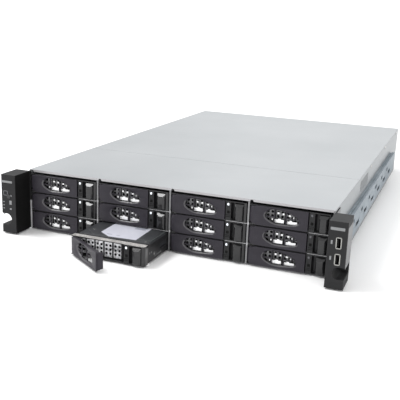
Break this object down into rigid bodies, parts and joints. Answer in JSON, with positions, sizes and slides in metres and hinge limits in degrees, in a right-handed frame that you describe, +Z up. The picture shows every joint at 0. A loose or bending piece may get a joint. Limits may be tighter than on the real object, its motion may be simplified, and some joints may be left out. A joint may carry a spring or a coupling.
{
  "type": "rack network attached storage unit",
  "caption": "Flat rack-mount storage unit with hot-swap drive trays at the front, swing levers, two mounting ears, side slides and rear power supplies.",
  "frame": {"origin": "centre of the chassis underside", "axes": "+X to the right seen from the front, +Y from the front to the rear, +Z up"},
  "size_m": [0.4826, 0.8358, 0.088],
  "materials": {
    "steel_sheet": "satin light grey sheet",
    "circuit_board": "green board",
    "black_frame": "matte",
    "heatsink_metal": "brushed fins",
    "ear_plastic": "fine grain",
    "nickel": "satin nickel",
    "slide_zinc": "bluish zinc",
    "tray_black": "matte black",
    "screen_metal": "perforated sheet",
    "drive_alloy": "cast and machined",
    "lever_black": "satin",
    "latch_gloss": "gloss",
    "fan_plastic": "matte",
    "psu_steel": "plain zinc"
  },
  "bodies": {
    "chassis": {"chassis_base": "steel_sheet", "front_cover": "steel_sheet", "rear_cover": "steel_sheet", "drive_cage": "steel_sheet", "backplane": "circuit_board", "fan_wall": "black_frame", "motherboard": "circuit_board", "cpu_heatsink": "heatsink_metal", "ear_brackets": "steel_sheet", "left_ear_housing": "ear_plastic", "right_ear_housing": "ear_plastic", "usb_ports": "nickel", "slide_inner_members": "slide_zinc", "chassis_screws": "nickel"},
    "tray_r1c1": {"tray_r1c1": "tray_black"},
    "lever_r1c1": {"lever_r1c1": "lever_black"},
    "latch_r1c1": {"latch_r1c1": "latch_gloss"},
    "tray_open": {"tray_carrier": "tray_black", "tray_mesh": "screen_metal", "tray_drive": "drive_alloy"},
    "lever_open": {"tray_lever": "lever_black"},
    "latch_open": {"tray_latch": "latch_gloss"},
    "tray_r1c3": {"tray_r1c3": "tray_black"},
    "lever_r1c3": {"lever_r1c3": "lever_black"},
    "latch_r1c3": {"latch_r1c3": "latch_gloss"},
    "tray_r1c4": {"tray_r1c4": "tray_black"},
    "lever_r1c4": {"lever_r1c4": "lever_black"},
    "latch_r1c4": {"latch_r1c4": "latch_gloss"},
    "tray_r2c1": {"tray_r2c1": "tray_black"},
    "lever_r2c1": {"lever_r2c1": "lever_black"},
    "latch_r2c1": {"latch_r2c1": "latch_gloss"},
    "tray_r2c2": {"tray_r2c2": "tray_black"},
    "lever_r2c2": {"lever_r2c2": "lever_black"},
    "latch_r2c2": {"latch_r2c2": "latch_gloss"},
    "tray_r2c3": {"tray_r2c3": "tray_black"},
    "lever_r2c3": {"lever_r2c3": "lever_black"},
    "latch_r2c3": {"latch_r2c3": "latch_gloss"},
    "tray_r2c4": {"tray_r2c4": "tray_black"},
    "lever_r2c4": {"lever_r2c4": "lever_black"},
    "latch_r2c4": {"latch_r2c4": "latch_gloss"},
    "tray_r3c1": {"tray_r3c1": "tray_black"},
    "lever_r3c1": {"lever_r3c1": "lever_black"},
    "latch_r3c1": {"latch_r3c1": "latch_gloss"},
    "tray_r3c2": {"tray_r3c2": "tray_black"},
    "lever_r3c2": {"lever_r3c2": "lever_black"},
    "latch_r3c2": {"latch_r3c2": "latch_gloss"},
    "tray_r3c3": {"tray_r3c3": "tray_black"},
    "lever_r3c3": {"lever_r3c3": "lever_black"},
    "latch_r3c3": {"latch_r3c3": "latch_gloss"},
    "tray_r3c4": {"tray_r3c4": "tray_black"},
    "lever_r3c4": {"lever_r3c4": "lever_black"},
    "latch_r3c4": {"latch_r3c4": "latch_gloss"},
    "fan_rotor_1": {"fan_rotor_1": "fan_plastic"},
    "fan_rotor_2": {"fan_rotor_2": "fan_plastic"},
    "fan_rotor_3": {"fan_rotor_3": "fan_plastic"},
    "psu_1": {"psu_1": "psu_steel"},
    "psu_2": {"psu_2": "psu_steel"},
    "power_button": {"power_button": "ear_plastic"},
    "slide_outer_left": {"slide_outer_left": "slide_zinc"},
    "slide_outer_right": {"slide_outer_right": "slide_zinc"}
  },
  "joints": [
    {"name": "tray_r1c1_slide", "type": "slide", "parent": "chassis", "child": "tray_r1c1", "axis": [0, -1, 0], "range_m": [0, 0.1825]},
    {"name": "lever_r1c1_hinge", "type": "hinge", "parent": "tray_r1c1", "child": "lever_r1c1", "pos_m": [-0.2115, -0.3478, 0.0145], "axis": [0, 0, -1], "range_deg": [0, 60]},
    {"name": "latch_r1c1_press", "type": "slide", "parent": "tray_r1c1", "child": "latch_r1c1", "axis": [0, 1, 0], "range_m": [0, 0.0025], "stiffness_N_per_m": 600},
    {"name": "tray_open_slide", "type": "slide", "parent": "chassis", "child": "tray_open", "axis": [0, -1, 0], "range_m": [-0.072, 0.11]},
    {"name": "lever_open_hinge", "type": "hinge", "parent": "tray_open", "child": "lever_open", "pos_m": [-0.1025, -0.4198, 0.0145], "axis": [0, 0, -1], "range_deg": [-35, 25]},
    {"name": "latch_open_press", "type": "slide", "parent": "tray_open", "child": "latch_open", "axis": [0, 1, 0], "range_m": [0, 0.0025], "stiffness_N_per_m": 600},
    {"name": "tray_r1c3_slide", "type": "slide", "parent": "chassis", "child": "tray_r1c3", "axis": [0, -1, 0], "range_m": [0, 0.1825]},
    {"name": "lever_r1c3_hinge", "type": "hinge", "parent": "tray_r1c3", "child": "lever_r1c3", "pos_m": [0.0065, -0.3478, 0.0145], "axis": [0, 0, -1], "range_deg": [0, 60]},
    {"name": "latch_r1c3_press", "type": "slide", "parent": "tray_r1c3", "child": "latch_r1c3", "axis": [0, 1, 0], "range_m": [0, 0.0025], "stiffness_N_per_m": 600},
    {"name": "tray_r1c4_slide", "type": "slide", "parent": "chassis", "child": "tray_r1c4", "axis": [0, -1, 0], "range_m": [0, 0.1825]},
    {"name": "lever_r1c4_hinge", "type": "hinge", "parent": "tray_r1c4", "child": "lever_r1c4", "pos_m": [0.1155, -0.3478, 0.0145], "axis": [0, 0, -1], "range_deg": [0, 60]},
    {"name": "latch_r1c4_press", "type": "slide", "parent": "tray_r1c4", "child": "latch_r1c4", "axis": [0, 1, 0], "range_m": [0, 0.0025], "stiffness_N_per_m": 600},
    {"name": "tray_r2c1_slide", "type": "slide", "parent": "chassis", "child": "tray_r2c1", "axis": [0, -1, 0], "range_m": [0, 0.1825]},
    {"name": "lever_r2c1_hinge", "type": "hinge", "parent": "tray_r2c1", "child": "lever_r2c1", "pos_m": [-0.2115, -0.3478, 0.0417], "axis": [0, 0, -1], "range_deg": [0, 60]},
    {"name": "latch_r2c1_press", "type": "slide", "parent": "tray_r2c1", "child": "latch_r2c1", "axis": [0, 1, 0], "range_m": [0, 0.0025], "stiffness_N_per_m": 600},
    {"name": "tray_r2c2_slide", "type": "slide", "parent": "chassis", "child": "tray_r2c2", "axis": [0, -1, 0], "range_m": [0, 0.1825]},
    {"name": "lever_r2c2_hinge", "type": "hinge", "parent": "tray_r2c2", "child": "lever_r2c2", "pos_m": [-0.1025, -0.3478, 0.0417], "axis": [0, 0, -1], "range_deg": [0, 60]},
    {"name": "latch_r2c2_press", "type": "slide", "parent": "tray_r2c2", "child": "latch_r2c2", "axis": [0, 1, 0], "range_m": [0, 0.0025], "stiffness_N_per_m": 600},
    {"name": "tray_r2c3_slide", "type": "slide", "parent": "chassis", "child": "tray_r2c3", "axis": [0, -1, 0], "range_m": [0, 0.1825]},
    {"name": "lever_r2c3_hinge", "type": "hinge", "parent": "tray_r2c3", "child": "lever_r2c3", "pos_m": [0.0065, -0.3478, 0.0417], "axis": [0, 0, -1], "range_deg": [0, 60]},
    {"name": "latch_r2c3_press", "type": "slide", "parent": "tray_r2c3", "child": "latch_r2c3", "axis": [0, 1, 0], "range_m": [0, 0.0025], "stiffness_N_per_m": 600},
    {"name": "tray_r2c4_slide", "type": "slide", "parent": "chassis", "child": "tray_r2c4", "axis": [0, -1, 0], "range_m": [0, 0.1825]},
    {"name": "lever_r2c4_hinge", "type": "hinge", "parent": "tray_r2c4", "child": "lever_r2c4", "pos_m": [0.1155, -0.3478, 0.0417], "axis": [0, 0, -1], "range_deg": [0, 60]},
    {"name": "latch_r2c4_press", "type": "slide", "parent": "tray_r2c4", "child": "latch_r2c4", "axis": [0, 1, 0], "range_m": [0, 0.0025], "stiffness_N_per_m": 600},
    {"name": "tray_r3c1_slide", "type": "slide", "parent": "chassis", "child": "tray_r3c1", "axis": [0, -1, 0], "range_m": [0, 0.1825]},
    {"name": "lever_r3c1_hinge", "type": "hinge", "parent": "tray_r3c1", "child": "lever_r3c1", "pos_m": [-0.2115, -0.3478, 0.0689], "axis": [0, 0, -1], "range_deg": [0, 60]},
    {"name": "latch_r3c1_press", "type": "slide", "parent": "tray_r3c1", "child": "latch_r3c1", "axis": [0, 1, 0], "range_m": [0, 0.0025], "stiffness_N_per_m": 600},
    {"name": "tray_r3c2_slide", "type": "slide", "parent": "chassis", "child": "tray_r3c2", "axis": [0, -1, 0], "range_m": [0, 0.1825]},
    {"name": "lever_r3c2_hinge", "type": "hinge", "parent": "tray_r3c2", "child": "lever_r3c2", "pos_m": [-0.1025, -0.3478, 0.0689], "axis": [0, 0, -1], "range_deg": [0, 60]},
    {"name": "latch_r3c2_press", "type": "slide", "parent": "tray_r3c2", "child": "latch_r3c2", "axis": [0, 1, 0], "range_m": [0, 0.0025], "stiffness_N_per_m": 600},
    {"name": "tray_r3c3_slide", "type": "slide", "parent": "chassis", "child": "tray_r3c3", "axis": [0, -1, 0], "range_m": [0, 0.1825]},
    {"name": "lever_r3c3_hinge", "type": "hinge", "parent": "tray_r3c3", "child": "lever_r3c3", "pos_m": [0.0065, -0.3478, 0.0689], "axis": [0, 0, -1], "range_deg": [0, 60]},
    {"name": "latch_r3c3_press", "type": "slide", "parent": "tray_r3c3", "child": "latch_r3c3", "axis": [0, 1, 0], "range_m": [0, 0.0025], "stiffness_N_per_m": 600},
    {"name": "tray_r3c4_slide", "type": "slide", "parent": "chassis", "child": "tray_r3c4", "axis": [0, -1, 0], "range_m": [0, 0.1825]},
    {"name": "lever_r3c4_hinge", "type": "hinge", "parent": "tray_r3c4", "child": "lever_r3c4", "pos_m": [0.1155, -0.3478, 0.0689], "axis": [0, 0, -1], "range_deg": [0, 60]},
    {"name": "latch_r3c4_press", "type": "slide", "parent": "tray_r3c4", "child": "latch_r3c4", "axis": [0, 1, 0], "range_m": [0, 0.0025], "stiffness_N_per_m": 600},
    {"name": "fan_1_spin", "type": "hinge", "parent": "chassis", "child": "fan_rotor_1", "pos_m": [-0.14, -0.124, 0.043], "axis": [0, 1, 0], "continuous": true},
    {"name": "fan_2_spin", "type": "hinge", "parent": "chassis", "child": "fan_rotor_2", "pos_m": [0, -0.124, 0.043], "axis": [0, 1, 0], "continuous": true},
    {"name": "fan_3_spin", "type": "hinge", "parent": "chassis", "child": "fan_rotor_3", "pos_m": [0.14, -0.124, 0.043], "axis": [0, 1, 0], "continuous": true},
    {"name": "psu_1_slide", "type": "slide", "parent": "chassis", "child": "psu_1", "axis": [0, 1, 0], "range_m": [0, 0.19]},
    {"name": "psu_2_slide", "type": "slide", "parent": "chassis", "child": "psu_2", "axis": [0, 1, 0], "range_m": [0, 0.19]},
    {"name": "power_button_press", "type": "slide", "parent": "chassis", "child": "power_button", "axis": [0, 1, 0], "range_m": [0, 0.0008], "stiffness_N_per_m": 800},
    {"name": "slide_outer_left_travel", "type": "slide", "parent": "chassis", "child": "slide_outer_left", "axis": [0, 1, 0], "range_m": [0, 0.4]},
    {"name": "slide_outer_right_travel", "type": "slide", "parent": "chassis", "child": "slide_outer_right", "axis": [0, 1, 0], "range_m": [0, 0.4]}
  ]
}
